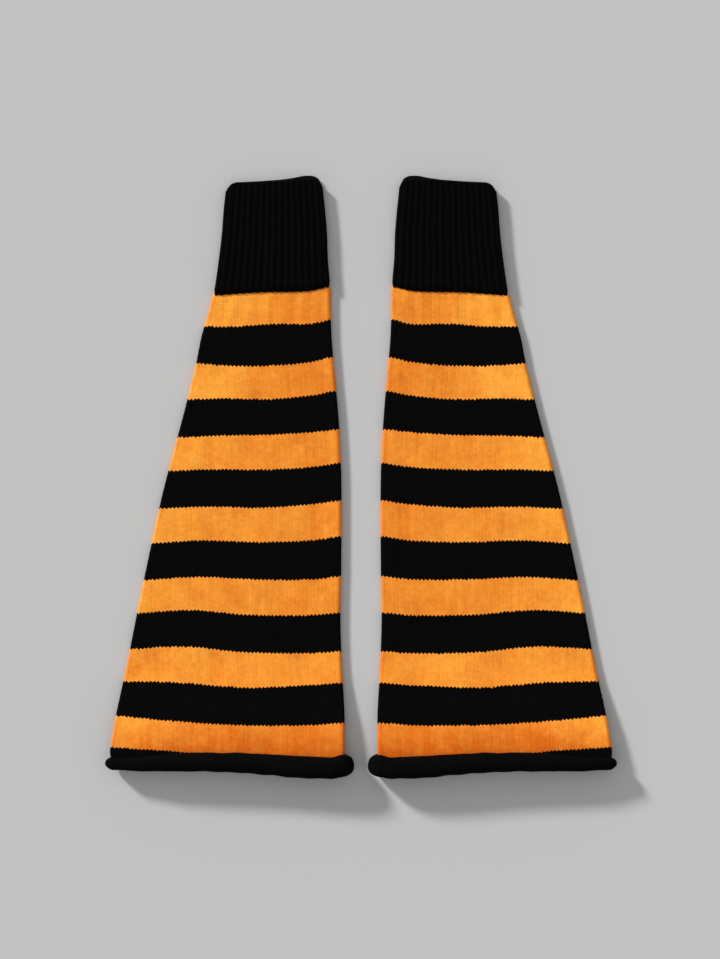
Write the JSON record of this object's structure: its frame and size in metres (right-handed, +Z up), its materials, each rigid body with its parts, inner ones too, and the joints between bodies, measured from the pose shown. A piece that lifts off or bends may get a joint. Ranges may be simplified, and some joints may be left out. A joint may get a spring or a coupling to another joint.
{
  "type": "pair of leg warmers",
  "caption": "Flared knit leg warmers laid flat side by side, each with a rib cuff, a striped jersey leg and an outward-rolled hem.",
  "frame": {"origin": "on the surface that the garments lie on, below the middle of the box round the pair", "axes": "+Y from the hems to the cuffs, +Z up out of the surface, +X from the left garment to the right one"},
  "size_m": [0.3812, 0.4495, 0.0201],
  "materials": {
    "rib_knit": "matt black 1x1 rib knit",
    "striped_jersey": "soft brushed jersey knit in orange and black stripes",
    "black_jersey": "matt black jersey knit, curled"
  },
  "bodies": {
    "root": {"cuff_left": "rib_knit", "cuff_right": "rib_knit", "leg_left": "striped_jersey", "leg_right": "striped_jersey", "hem_roll_left": "black_jersey", "hem_roll_right": "black_jersey"}
  },
  "joints": []
}
